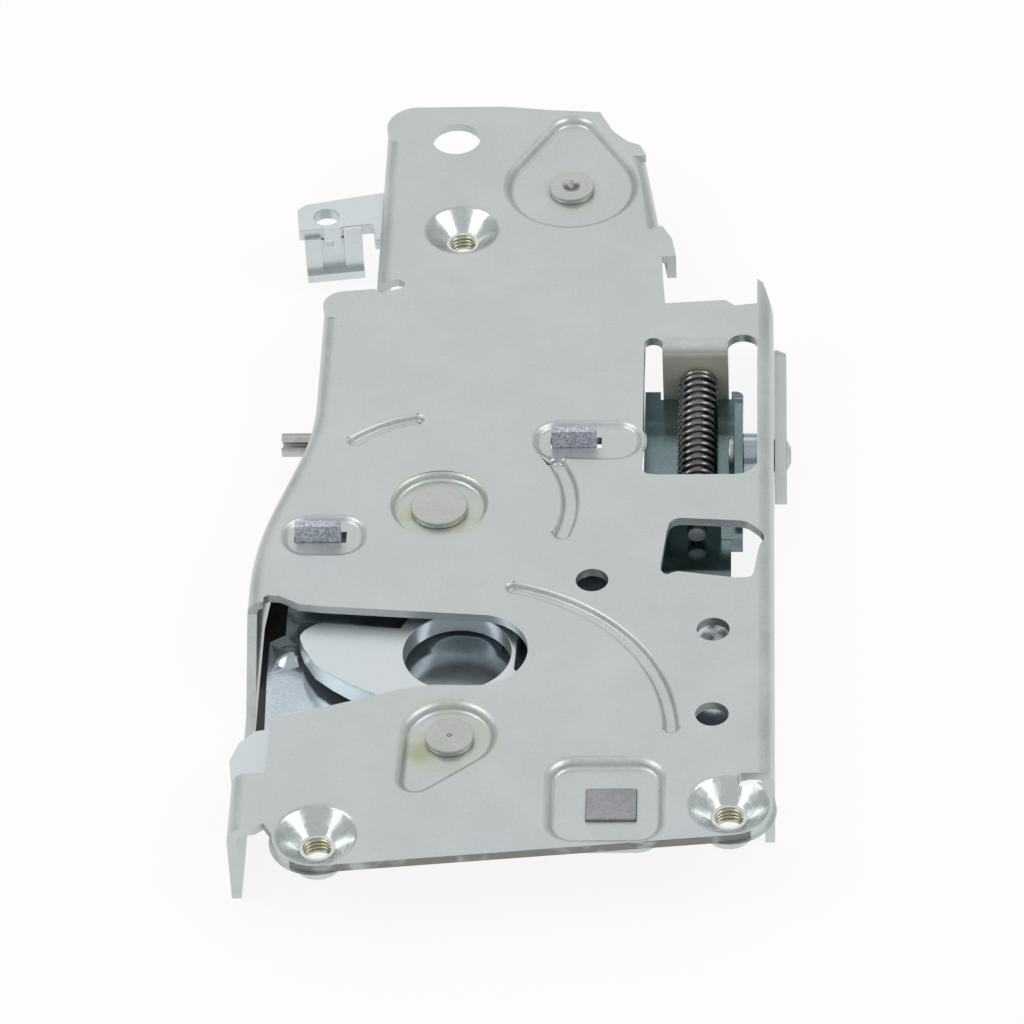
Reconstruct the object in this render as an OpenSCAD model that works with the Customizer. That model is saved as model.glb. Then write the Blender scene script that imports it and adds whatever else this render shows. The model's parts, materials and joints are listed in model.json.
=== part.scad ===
// Vehicle door latch: folded sheet case with a rotating claw, a pawl, a release lever with
// its link, and a lock lever held by a coil spring.
// X to the right and Y up the case, Z out of the front face. z = 0 is the front face, and
// x = y = 0 is where the striker bar rests, the centre of the mouth's round end. Millimetres.

/* [View] */
// piece to draw, or all

/* [Sheet and layers] */
// thickness of the case sheet
sheet_t = 1.7; // [1.4:0.1:2.2]
// outer radius of the case bends
bend_r = 3; // [2.4:0.1:4]
// depth of the pressed recesses
recess_d = 1.6; // [1.2:0.1:1.9]
// depth of the two small recesses with the lugs
small_recess_d = 0.9; // [0.6:0.1:1.2]
// run of a recess wall from rim to floor
recess_run = 0.8; // [0.4:0.1:1.4]
// gap between pressed faces and moving levers
run_gap = 0.3; // [0.2:0.05:0.4]
// thickness of the claw and the pawl
claw_t = 4; // [3:0.1:4.5]
// distance from claw underside to back plate
back_gap = 2; // [1.8:0.1:2.6]
// depth of the side flanges, front face to feet
case_depth = 17; // [16:0.5:20]

/* [Case outline] */
// outer face of the left wall beside the mouth
left_x = -41.4; // [-44:0.1:-40]
// outer face of the left wall above the curve
left_up_x = -32.1; // [-35:0.1:-30]
// outer face of the narrow top part's left wall
top_left_x = -22.5; // [-24:0.1:-21]
// outer face of the right wall
right_x = 52.2; // [51:0.1:56]
// y of the top edge
top_y = 153.4; // [150:0.1:160]
// y where the left wall's upper curve starts
curve_y = 68; // [64:0.5:72]
// radius of the wall's upper, hollow curve
curve_r1 = 55; // [45:1:65]
// radius of the wall's lower, round curve
curve_r2 = 75; // [65:1:85]
// steepest slope of the wall between its curves, degrees
curve_deg = 16.5; // [14:0.5:20]
// depth of the upper left flange
top_flange_d = 12; // [9:0.5:14]
// depth of the hook at the upper right flange's lower end
hook_d = 5.3; // [5:0.1:10]

/* [Mouth] */
// radius of the mouth's round end
mouth_r = 9; // [8:0.1:10]

/* [Fixings] */
// thread bore of the three fixings
thread_d = 5; // [4:0.1:6]
// rim diameter of the countersunk fixings
cone_d = 14; // [12:0.5:16]
// depth of the threaded necks
neck_depth = 7; // [6:0.5:9]
// outer diameter of the threaded necks
neck_d = 8.2; // [7.5:0.1:9]
// diameter of the clear hole at the top
clear_d = 9.3; // [8:0.1:10]
// diameter of the three small holes
small_hole_d = 5.85; // [5:0.05:7]
// distance of the bottom corners from their fixings
corner_r = 7.6; // [7:0.1:9]

/* [Claw] */
// greatest radius of the claw
claw_r = 40.8; // [39:0.1:41]
// radius of the claw's hub
hub_r = 13.4; // [12:0.1:15]
// diameter of the round hole in the claw's finger
claw_hole_d = 19.1; // [17:0.1:20]
// shoulder diameter of the claw pivot
claw_pin_d = 10; // [9:0.1:11]
// radial running clearance on pivots
pivot_clear = 0.05; // [0.02:0.01:0.09]

/* [Pawl] */
// distance from the pawl's pivot to its nose
nose_reach = 39.6; // [38:0.1:41]
// shoulder diameter of the pawl pivot
pawl_pin_d = 9; // [8:0.1:10]
// outer diameter of the roll pin
roll_d = 4.4; // [4:0.1:5]
// wall of the roll pin
roll_wall = 0.8; // [0.6:0.1:1]

/* [Release lever] */
// thickness of the release lever
lever_t = 2.5; // [2:0.1:2.8]
// shoulder diameter of the release lever's pivot
lever_pin_d = 8; // [7:0.1:9]
// diameter of the hole in the lever's left end
rod_hole_d = 4.8; // [4:0.1:6]
// thickness of the release link
link_t = 1.5; // [1.2:0.1:1.6]

/* [Lock lever] */
// thickness of the lock lever sheet
lock_t = 1.5; // [1.2:0.1:1.8]
// y of the lock lever's turning axis
lock_y = 63.3; // [62:0.1:65]
// z of the lock lever's turning axis
lock_z = -11.2; // [-12:0.1:-10.5]
// diameter of the lock shaft
shaft_d = 6; // [5:0.1:7]
// outer diameter of the coil spring
coil_d = 7.4; // [7:0.1:7.8]
// wire diameter of the coil spring
wire_d = 1.1; // [0.9:0.05:1.3]
// number of coils
coils = 19; // [14:1:22]
// diameter of the spring guide pin
guide_d = 2.5; // [2:0.1:3.2]

/* [Hidden] */
$fn = 96;
eps = 0.01;
// layer heights
floor_z = -recess_d - sheet_t;
claw_z = floor_z - run_gap;
claw_bot = claw_z - claw_t;
back_z = claw_bot - back_gap;
back_bot = back_z - sheet_t;
lever_bot = claw_z - lever_t;
link_z = claw_bot - 0.2;
link_bot = link_z - link_t;
// pivots
claw_c = [-4, -21];
pawl_c = [-8.1, 38.4];
lever_c = [13.7, top_y - 24.1];
// fixings and holes
sink_depth = 3.4;
seat_r = thread_d / 2 + 0.6;
fix_top = [-6.8, top_y - 37.4];
fix_left = [-25.8, -45.3];
fix_right = [44.4, -38.4];
fixings = [fix_top, fix_left, fix_right];
clear_at = [-8.9, top_y - 9.9];
small_at = [[19.9, 17.8], [41.5, 4.9], [41.4, -16.5]];
// the left wall's S curve: upper arc centre, straight length, lower arc centre
c1 = [left_up_x - curve_r1, curve_y];
s_len = (left_up_x - left_x - (curve_r1 + curve_r2) * (1 - cos(curve_deg))) / sin(curve_deg);
s1 = c1 + curve_r1 * [cos(curve_deg), -sin(curve_deg)];
s2 = s1 - s_len * [sin(curve_deg), cos(curve_deg)];
c2 = [left_x + curve_r2, s2[1] - curve_r2 * sin(curve_deg)];
lean = atan2(31 - 27.8, 138.1 - 115.8);
shoulder_y = 94;
leg_y = -44;
edge_flange_d = -claw_z - 0.2;
wall_out = 0.9;
// the swept wall laps over the flat face, and the face ends in the middle of the lap
fold_lap = 0.4;
seam = bend_r + fold_lap / 2;
right_low_y = -31;
right_top_y = 101.8;
// spring seat tab
tab_x = [31.6, 43.8];
tab_face_y = 81.4;
tab_z = -16.4;
horn_y = 83.1;
web_end_y = 80.9;
spring_x = 38.2;
spring_z = -8.5;
// recesses, the lugs in two of them and the block in the third
pad_left = [-28.5, 30.2];
pad_bar = [18.35, 55.5];
pad_low_at = [23.3, -37.1];
lug_left = [-33.6, 29.15];
lug_bar = [11.8, 54.25];
lug_w = 8.2;
lug_slot_w = 2.9;
lug_top = 2.9;
stake_x = [20, 28.6];
stake_y = [-41, -33.6];
fit_gap = 0.1;
// pins and heads
neck_pin_d = 6;
head_front = -0.35;
claw_head_d = 8.5;
pawl_head_d = 10.3;
lever_head_d = 8.6;
back_head_h = 1.4;
link_pin_d = 4;
// the clip's inner face runs along the lever's front edge
clip_at = lever_c + [-51.1, -8.9];
clip_turn = 8;
lever_link_at = lever_c + [11, -5.3];
pawl_link_at = [10.5, 40];
roll_y = 65.5;
roll_z = -9.7;
wall_pin_y = 40.2;
seat_gap = 0.3;

// Shared shapes
// folded section: u inward from the wall's outer face, z down from the front face
module bend_section(depth) {
    difference() {
        translate([0, -depth]) square([bend_r, depth]);
        difference() {
            translate([-1, -bend_r]) square([bend_r + 1, bend_r + 1]);
            translate([bend_r, -bend_r]) circle(bend_r);
        }
        translate([bend_r, -bend_r]) circle(bend_r - sheet_t);
        translate([sheet_t, -depth - 1]) square([bend_r, depth - bend_r + 1]);
    }
}

// straight folded wall with its outer face on x, between two y values
module wall_run(x, y0, y1, depth) {
    translate([x, y1, 0]) rotate([90, 0, 0]) linear_extrude(y1 - y0) bend_section(depth);
}
module wall_run_right(x, y0, y1, depth) {
    translate([x, y1, 0]) mirror([1, 0, 0]) rotate([90, 0, 0])
        linear_extrude(y1 - y0) bend_section(depth);
}
// each flat shape is raised by itself and the solids are joined
module raised(h) {
    for (i = [0 : $children - 1]) linear_extrude(h) children(i);
}

// pressed round dish: the hollow, and the metal below it
module dish_hollow(r, d = recess_d) {
    translate([0, 0, -d]) cylinder(h = d, r1 = r - recess_run, r2 = r);
    translate([0, 0, -eps]) cylinder(h = 1, r = r);
}
module dish_metal(r, d = recess_d) {
    translate([0, 0, -d - sheet_t]) cylinder(h = d + eps, r1 = r - recess_run + wall_out, r2 = r + wall_out);
}

// pressed pad with round corners: corner cones joined by two sloped bars
module pad_solid(w, h, r, top, bottom, grow) {
    d = top - bottom;
    for (x = [-1, 1], y = [-1, 1])
        translate([x * (w / 2 - r), y * (h / 2 - r), bottom])
            cylinder(h = d, r1 = r + grow - recess_run, r2 = r + grow);
    rotate([90, 0, 0]) translate([0, 0, -(h / 2 - r)]) linear_extrude(h - 2 * r)
        bar_section(w / 2 + grow, top, bottom);
    rotate([90, 0, 90]) translate([0, 0, -(w / 2 - r)]) linear_extrude(w - 2 * r)
        bar_section(h / 2 + grow, top, bottom);
}
module bar_section(half, top, bottom)
    polygon([[-half, top], [half, top], [half - recess_run, bottom], [-half + recess_run, bottom]]);
module pad_hollow(w, h, r, d) {
    pad_solid(w, h, r, 0, -d, 0);
    raised(1) {
        square([w - 2 * r, h], center = true);
        square([w, h - 2 * r], center = true);
    }
    for (x = [-1, 1], y = [-1, 1]) translate([x * (w / 2 - r), y * (h / 2 - r), 0]) cylinder(h = 1, r = r);
}
module pad_metal(w, h, r, d) pad_solid(w, h, r, -d / 2, -d - sheet_t, wall_out);

// pressed groove along an arc, with round ends
module groove(r, w, a0, a1, top, bottom, grow) {
    run = 0.5;
    half = w / 2 + grow;
    rotate([0, 0, a0]) rotate_extrude(angle = a1 - a0)
        polygon([[r - half, top], [r + half, top], [r + half - run, bottom], [r - half + run, bottom]]);
    for (a = [a0, a1]) rotate([0, 0, a]) translate([r, 0, bottom])
        cylinder(h = top - bottom, r1 = half - run - 0.05, r2 = half - 0.05);
}
module groove_hollow(r, w, a0, a1, d) groove(r, w, a0, a1, eps, -d, 0);
module groove_metal(r, w, a0, a1, d) groove(r, w, a0, a1, -sheet_t + eps, -d - sheet_t, 0.7);

// round-ended slot, long along x
module slot(w, d, h) {
    translate([-(w - d) / 2, -d / 2, 0]) cube([w - d, d, h]);
    for (x = [-1, 1]) translate([x * (w - d) / 2, 0, 0]) cylinder(h = h, d = d);
}

// countersunk threaded neck: metal and hollow
module cone_metal() {
    translate([0, 0, -neck_depth]) cylinder(h = neck_depth - sheet_t / 2, d = neck_d);
    translate([0, 0, -sink_depth - sheet_t])
        cylinder(h = sink_depth + eps, r1 = seat_r + 0.6, r2 = cone_d / 2 + 1.2);
}
module cone_hollow() {
    translate([0, 0, -sink_depth]) cylinder(h = sink_depth + eps, r1 = seat_r, r2 = cone_d / 2 + eps);
    translate([0, 0, -neck_depth - 1]) cylinder(h = neck_depth + 1, d = thread_d);
}

// Front plate
module case_face() {
    e1 = c1 + (curve_r1 + seam) * [cos(curve_deg), -sin(curve_deg)];
    e2 = c2 + (curve_r2 - seam) * [-cos(curve_deg), sin(curve_deg)];
    low = corner_r * [0.1, -0.995];
    translate([0, 0, -sheet_t]) difference() {
        union() {
            linear_extrude(sheet_t) polygon([[top_left_x + bend_r, 99], [top_left_x + bend_r, 147.4],
                [top_left_x, 147.4], [top_left_x + 6, top_y], [0, top_y], [9, 152.2], [18.7, 151.4],
                [21.3, 145.5], [24.1, 142.3], [26.6, 141.1], [27.8, 138.1], [31, 115.8],
                [33.1, 112.6], [33.9, 107.5], [31.2, 107.5], [31.6, 100], [32, 93.8],
                [43.2, 94.6], [45, 93], [right_x - bend_r, 93.6],
                [right_x - bend_r, right_low_y - 2.2],
                [fix_right[0] + corner_r, right_low_y - 2.2],
                [fix_right[0] + corner_r, fix_right[1]], fix_right + low, fix_left + low,
                fix_left - [corner_r, 0], [-33.4, -45.3], [-35, -42.6], [-36.6, -43.8],
                [left_x + seam, leg_y], [left_x + seam, c2[1]], e2, e1,
                [left_up_x + seam, curve_y], [left_up_x + seam, shoulder_y],
                [left_up_x, shoulder_y], [left_up_x + 4, 98.1]]);
            translate([left_up_x + 4, shoulder_y + 0.1, 0]) cylinder(h = sheet_t, r = 4);
            translate([top_left_x + 6, top_y - 6, 0]) cylinder(h = sheet_t, r = 6);
            for (p = [fix_left, fix_right]) translate(p) cylinder(h = sheet_t, r = corner_r);
            // round side of the lower curve
            intersection() {
                translate(c2) cylinder(h = sheet_t, r = curve_r2 - seam, $fn = 240);
                linear_extrude(sheet_t)
                    polygon([c2, c2 + 90 * [-cos(curve_deg), sin(curve_deg)], c2 - [90, 0]]);
            }
        }
        translate([c1[0], c1[1], -1]) cylinder(h = sheet_t + 2, r = curve_r1 + seam, $fn = 240);
        translate([0, 0, -1]) linear_extrude(sheet_t + 2) upper_window2d();
        // inner side of the leaning flange
        translate([31, 115.8, -1]) rotate([0, 0, lean]) translate([-bend_r, 0, 0])
            cube([bend_r + 2, 22.4, sheet_t + 2]);
    }
}

module mouth() {
    cylinder(h = 8, r = mouth_r, center = true);
    translate([0, 0, -4]) linear_extrude(8) polygon([[0, mouth_r], [-28.2, 11.5], [-32, 12.1],
        [-35.5, 14.2], [-37.6, 14.4], [left_x + bend_r, 13.9], [left_x + bend_r, -30.5],
        [-35.4, -30.5], [-35.3, -17.5], [-31.4, -15.9], [-22, -12.9], [-17.3, -11.3],
        [-12.2, -9.6], [-7.2, -8.8], [0, -mouth_r]]);
}

module upper_window2d() {
    polygon([[28.3, 47.1], [29.2, 46.1], [31, 45.8], [45.4, 45.8], [46.9, 46.1], [48.3, 47.2],
        [49.2, 48.6], [49.5, 50.4], [49.5, tab_face_y + 0.2], [tab_x[1], tab_face_y + 0.2],
        [tab_x[1], tab_face_y + bend_r], [tab_x[0], tab_face_y + bend_r],
        [tab_x[0], tab_face_y + 0.7], [28.3, tab_face_y + 0.7]]);
}

module lower_window2d() polygon([[32, 21.4], [32.1, 20.3], [32.6, 19.5], [33.3, 19.2], [34.2, 19.7],
    [35.1, 20], [45.2, 18.3], [47.3, 18.3], [48.2, 18.7], [48.6, 19.5], [49.2, 24], [49.7, 27],
    [50.4, 28.4], [50.5, 29.3], [50, 30.4], [48.6, 31.9], [47.6, 32.8], [46.3, 33.3], [35.4, 34.1],
    [34.2, 33.7], [33.5, 32.8], [33, 30.3]]);

module teardrop(r1, r2, lift, h0, h1) {
    // round dish with a smaller lobe towards +y
    hull() {
        translate([0, 0, h0]) cylinder(h = h1 - h0, r1 = r1 - recess_run, r2 = r1, $fn = 48);
        translate([0, lift, h0]) cylinder(h = h1 - h0, r1 = r2 - recess_run, r2 = r2, $fn = 48);
    }
}

module recess_metal() {
    translate(lever_c) teardrop(12.4 + wall_out, 4.4 + wall_out, 16.2, floor_z, -sheet_t + eps);
    translate(pawl_c) dish_metal(8.9);
    translate(claw_c) rotate([0, 0, 153.4])
        teardrop(8 + wall_out, 3 + wall_out, 12.1, floor_z, -sheet_t + eps);
    translate(pad_left) pad_metal(15, 10.2, 4.6, small_recess_d);
    translate(pad_bar) pad_metal(19.7, 10.2, 4.6, small_recess_d);
    translate(pad_low_at) pad_metal(19.8, 19.4, 4.6, recess_d);
    translate(claw_c) groove_metal(38.4, 2.6, 2, 75, 1.1);
    translate(pawl_c) groove_metal(23.7, 2.5, 102, 133, 1.1);
    translate(pawl_c) groove_metal(23.7, 3, -20, 27, 1.1);
    for (p = fixings) translate(p) cone_metal();
}

module recess_hollow() {
    translate(lever_c) teardrop(12.4, 4.4, 16.2, -recess_d, eps);
    translate(pawl_c) dish_hollow(8.9);
    translate(claw_c) rotate([0, 0, 153.4]) teardrop(8, 3, 12.1, -recess_d, eps);
    translate(pad_left) pad_hollow(15, 10.2, 4.6, small_recess_d);
    translate(pad_bar) pad_hollow(19.7, 10.2, 4.6, small_recess_d);
    translate(pad_low_at) pad_hollow(19.8, 19.4, 4.6, recess_d);
    translate(claw_c) groove_hollow(38.4, 2.6, 2, 75, 1.1);
    translate(pawl_c) groove_hollow(23.7, 2.5, 102, 133, 1.1);
    translate(pawl_c) groove_hollow(23.7, 3, -20, 27, 1.1);
    for (p = fixings) translate(p) cone_hollow();
}

// the folded section swept up the left side: leg, S curve, straight part up to the shoulder
module left_wall() {
    steps = 8;
    arc = [for (i = [0 : steps]) curve_deg * i / steps];
    path = concat([[[left_x, leg_y], 0]],
        [for (a = arc) [c2 + curve_r2 * [-cos(a), sin(a)], a]],
        [for (i = [steps : -1 : 0]) [c1 + curve_r1 * [cos(arc[i]), -sin(arc[i])], arc[i]]],
        [[[left_up_x, shoulder_y], 0]]);
    inner = bend_r - sheet_t;
    section = concat([[0, -case_depth]],
        [for (i = [0 : 6]) [bend_r - bend_r * cos(15 * i), -bend_r + bend_r * sin(15 * i)]],
        [[bend_r + fold_lap, 0], [bend_r + fold_lap, -sheet_t]],
        [for (i = [6 : -1 : 0]) [bend_r - inner * cos(15 * i), -bend_r + inner * sin(15 * i)]],
        [[sheet_t, -case_depth]]);
    n = len(section);
    m = len(path);
    points = [for (q = path, e = section) [q[0][0] + e[0] * cos(q[1]), q[0][1] - e[0] * sin(q[1]), e[1]]];
    faces = concat([[for (j = [0 : n - 1]) j]],
        [for (i = [0 : m - 2], j = [0 : n - 1]) let (k = (j + 1) % n)
            [i * n + j, (i + 1) * n + j, (i + 1) * n + k, i * n + k]],
        [[for (j = [n - 1 : -1 : 0]) (m - 1) * n + j]]);
    polyhedron(points, faces, convexity = 6);
}

module case_walls() {
    left_wall();
    // narrow top part
    wall_run(top_left_x, 101, 147.4, top_flange_d);
    // right wall
    wall_run_right(right_x, right_low_y, right_top_y, case_depth);
    // upper right flange, leaning with the outline, and its end hook
    translate([31, 115.8, 0]) rotate([0, 0, lean]) wall_run_right(0, 0, 22.4, edge_flange_d);
    translate([0, 0, -hook_d]) linear_extrude(hook_d - eps) polygon([[31.2, 116.6], [33.1, 112.6],
        [33.9, 107.5], [32.2, 107.4], [31.5, 112], [29.2, 115.9]]);
    // spring seat tab, turned down from the window's top edge
    translate([tab_x[0], tab_face_y, 0]) rotate([90, 0, 90]) linear_extrude(tab_x[1] - tab_x[0])
        bend_section(-tab_z);
}

module front_plate() color([0.74, 0.77, 0.76]) difference() {
    union() {
        case_face();
        case_walls();
        recess_metal();
    }
    recess_hollow();
    // mouth, through the face and as a tapering gap through the left wall
    mouth();
    translate([left_x - 1, 0, 0]) rotate([90, 0, 90]) linear_extrude(bend_r + 1)
        polygon([[12.7, 1], [12.7, -3], [-2, -14.2], [-27, -14.2], [-30.5, -8.6], [-30.5, 1]]);
    // windows
    translate([0, 0, -sheet_t - 3]) linear_extrude(sheet_t + 4) lower_window2d();
    translate([29.95, tab_face_y + 0.7, -sheet_t - 3]) cylinder(h = sheet_t + 4, r = 1.68);
    translate([46.6, tab_face_y + 0.2, -sheet_t - 3]) cylinder(h = sheet_t + 4, r = 2.95);
    for (a = [lug_left, lug_bar]) translate([a[0] - 0.3, a[1] - 0.1, floor_z - 1])
        cube([lug_w + 1.2, lug_slot_w, 5]);
    translate([stake_x[0] - fit_gap, stake_y[0] - fit_gap, floor_z - 1])
        cube([stake_x[1] - stake_x[0] + 2 * fit_gap, stake_y[1] - stake_y[0] + 4 * fit_gap, 3]);
    // almond relief at the shoulder
    translate([-19.8, 99.5, -sheet_t - 2]) rotate([0, 0, 20]) slot(5.6, 2.8, sheet_t + 3);
    // relief beside the lower right fixing
    translate([49.5, right_low_y - 1.1, -sheet_t - 2]) slot(7.4, 2.2, sheet_t + 3);
    // slanted top end of the right wall
    translate([0, 0, -case_depth - 1]) linear_extrude(case_depth + 2)
        polygon([[46, 103], [48, right_top_y], [50.3, 99.7], [51.8, 94.4], [52.4, 92], [60, 92], [60, 110], [46, 110]]);
    // slot for the release lever
    translate([top_left_x - 1, lever_c[1] - 18.9, lever_bot - 0.7]) cube([sheet_t + 2, 28, lever_t + 1.2]);
    // slot for the roll pin
    translate([left_up_x - 2, 58.6, roll_z - roll_d / 2 - 0.8]) cube([sheet_t + 4, 12.8, roll_d + 1.6]);
    // lock shaft hole
    translate([right_x - 3, lock_y, lock_z]) rotate([0, 90, 0]) cylinder(h = 4, d = shaft_d + 0.2);
    // guide hole in the tab
    translate([spring_x, tab_face_y - 1, spring_z]) rotate([-90, 0, 0]) cylinder(h = 4, d = guide_d + 0.9);
    // pivots and holes
    for (c = [claw_c, pawl_c, lever_c]) translate([c[0], c[1], floor_z - 1]) cylinder(h = 4, d = neck_pin_d);
    translate([clear_at[0], clear_at[1], -sheet_t - 1]) cylinder(h = sheet_t + 2, d = clear_d);
    for (p = small_at) translate([p[0], p[1], -sheet_t - 1]) cylinder(h = sheet_t + 2, d = small_hole_d);
}

// Back plate
foot_y = [-44.2, -31.5];
foot_x = [17.6, 31.2];
module back_plate() color([0.8, 0.83, 0.82]) difference() {
    union() {
        translate([0, 0, back_bot]) linear_extrude(sheet_t) polygon([[-36, -27], [-37, -24], [-37.8, 4], [-37.8, 12.4],
            [-35.1, 14.2], [-35.1, 24], [-34.4, 31], [-31, 46], [-27.5, 56], [4, 56], [10, 57.2], [27.2, 57.2],
            [27.2, 27], [45.5, 27], [46, 24], [46, -26], [41, -31], [foot_x[1] + 2, -31],
            [foot_x[1], -30], [foot_x[0], -30], [14, -34], [-28, -34]]);
        // lugs through the left and the cross-bar windows
        for (a = [lug_left, lug_bar]) translate([a[0], a[1], back_bot])
            cube([lug_w, sheet_t, lug_top - back_bot]);
        // foot, stepped up behind the bottom recess
        translate([foot_x[0], foot_y[0], floor_z - sheet_t])
            cube([foot_x[1] - foot_x[0], -33 - foot_y[0], sheet_t]);
        translate([foot_x[0], 0, 0]) rotate([90, 0, 90]) linear_extrude(foot_x[1] - foot_x[0])
            polygon([[-33.4, floor_z], [-32.4, floor_z], [-29, back_z], [-29, back_bot],
                [-30.2, back_bot], [-33.4, floor_z - sheet_t]]);
        // pressed beads that stiffen the part under the mouth
        intersection() {
            bead([-34.6, 2.2], [-25.4, -1.9], 2.4);
            translate([-40, -10, back_z - eps]) cube([20, 20, 5]);
        }
        translate([0, 0, back_z - eps]) ramp();
        translate([-33.8, 8.6, back_z - eps]) cylinder(h = bead_h, r1 = 3.1, r2 = 1.2);
    }
    for (c = [claw_c, pawl_c]) translate([c[0], c[1], back_bot - 1]) cylinder(h = 4, d = neck_pin_d);
    translate([pawl_link_at[0], pawl_link_at[1], back_bot - 1]) cylinder(h = 5, d = 12);
    // stud of the staked block
    translate([stake_x[0] - fit_gap, stake_y[0] - fit_gap, floor_z - sheet_t - 1])
        cube([stake_x[1] - stake_x[0] + 2 * fit_gap, stake_y[1] - stake_y[0] + 2 * fit_gap, sheet_t + 2]);
}
bead_h = 1.1;
// round bead between two points of the plate
module bead(p, q, r) {
    d = q - p;
    for (c = [p, q]) translate([c[0], c[1], back_z + bead_h - r]) sphere(r);
    translate([p[0], p[1], back_z + bead_h - r]) rotate([0, 0, atan2(d[1], d[0])]) rotate([0, 90, 0])
        cylinder(h = norm(d), r = r);
}
module ramp() {
    rotate([0, 0, -6]) translate([-34.2, 11.6, 0]) rotate([90, 0, 90])
        linear_extrude(37) polygon([[-2.8, 0], [2.8, 0], [1.6, bead_h], [0.4, bead_h]]);
}

// rectangular block staked through the foot and the bottom recess
module stake_block() color([0.66, 0.68, 0.69]) {
    w = stake_x[1] - stake_x[0];
    translate([stake_x[0], stake_y[0], floor_z - sheet_t])
        cube([w, stake_y[1] - stake_y[0], sheet_t + recess_d + sheet_t - 1]);
    translate([stake_x[0] - 0.9, stake_y[0] - 0.9, floor_z - sheet_t - 0.8])
        cube([w + 1.8, stake_y[1] - stake_y[0] + 0.7, 0.8]);
}

// Claw
function pol(r, a) = [r * cos(a), r * sin(a)];
module claw() color([0.82, 0.85, 0.85]) translate([claw_c[0], claw_c[1], claw_bot]) {
    rim0 = 80;
    rim1 = 97;
    difference() {
        union() {
            cylinder(h = claw_t, r = hub_r);
            raised(claw_t) {
                // upper finger
                polygon([[-26, 31.2], [-27.1, 30.2], [-27.8, 29], [-27.8, 28], [-27, 25.5], [-24.9, 21.6], [-21.7, 18.6], [-18.2, 16],
                    [-13.7, 13.7], [-11.6, 4.5], [0, 0], pol(hub_r - 1, 30), pol(20, 46), pol(22.6, 62.2),
                    pol(34.5, 71), pol(claw_r, rim0), pol(39.2, 88), pol(claw_r, rim1), [-10.1, 30.5],
                    [-17, 31.3], [-23.6, 32.2], [-25, 31.9]]);
                intersection() {
                    circle(claw_r);
                    polygon([[0, 0], 60 * pol(1, rim1), 60 * pol(1, rim0)]);
                }
                // lower finger
                polygon([[-10, 8], [-20, 6.6], [-31, 5.3], [-34.5, 4.6], [-36.9, 1.6], [-38.3, -2.6],
                    [-37.6, -8.2], [-24, -9.6], [-12, -8.6], [0, -hub_r + 2]]);
            }
        }
        translate([0.3, 24.3, -1]) cylinder(h = claw_t + 2, d = claw_hole_d);
        translate([0, 0, -1]) cylinder(h = claw_t + 2, d = claw_pin_d + 3);
    }
}
module claw_sleeve() color([0.2, 0.2, 0.22]) translate([claw_c[0], claw_c[1], back_z + 0.1]) difference() {
    union() {
        cylinder(h = floor_z - back_z - 0.2, d = claw_pin_d + 3);
        cylinder(h = 0.5, d = claw_pin_d + 5);
    }
    translate([0, 0, -1]) cylinder(h = 20, d = claw_pin_d + 2 * pivot_clear);
}

// stepped rivet pivot: shoulder between the plates, necks through them, formed heads
module pivot(c, shoulder_d, head_d, z_back, grip) {
    translate([c[0], c[1], 0]) {
        translate([0, 0, z_back]) cylinder(h = floor_z - z_back, d = shoulder_d);
        translate([0, 0, z_back - grip - 0.2]) cylinder(h = head_front - z_back + grip, d = neck_pin_d);
        translate([0, 0, -recess_d]) cylinder(h = head_front + recess_d, d = head_d);
        translate([0, 0, z_back - grip - back_head_h]) cylinder(h = back_head_h, d = head_d + 0.5);
    }
}
module claw_pivot() color([0.7, 0.71, 0.7]) pivot(claw_c, claw_pin_d, claw_head_d, back_z, sheet_t);
module pawl_pivot() color([0.7, 0.71, 0.7]) pivot(pawl_c, pawl_pin_d, pawl_head_d, back_z, sheet_t);

// flat return spring: an open ring of wire whose ends turn outwards as two short legs
module ring_spring(r, a0, a1, leg0, leg1) {
    inset = 0.7 * ring_wire / r * 180 / PI;
    rotate([0, 0, a0]) rotate_extrude(angle = a1 - a0) translate([r, 0]) circle(d = ring_wire, $fn = 24);
    for (leg = [[a0 + inset, leg0], [a1 - inset, leg1]]) rotate([0, 0, leg[0]]) translate([r, 0, 0])
        rotate([0, 90, 0]) cylinder(h = leg[1], d = ring_wire - 0.1, $fn = 24);
}
ring_wire = 1.3;
spring_drop = ring_wire / 2 + 0.1;
module claw_spring() color([0.15, 0.15, 0.16]) translate([claw_c[0], claw_c[1], claw_bot - spring_drop])
    ring_spring(9.2, 40, 320, 6, 5);
module pawl_spring() color([0.15, 0.15, 0.16]) translate([pawl_c[0], pawl_c[1], claw_bot - spring_drop])
    ring_spring(6.2, 60, 340, 4, 3.5);

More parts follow.
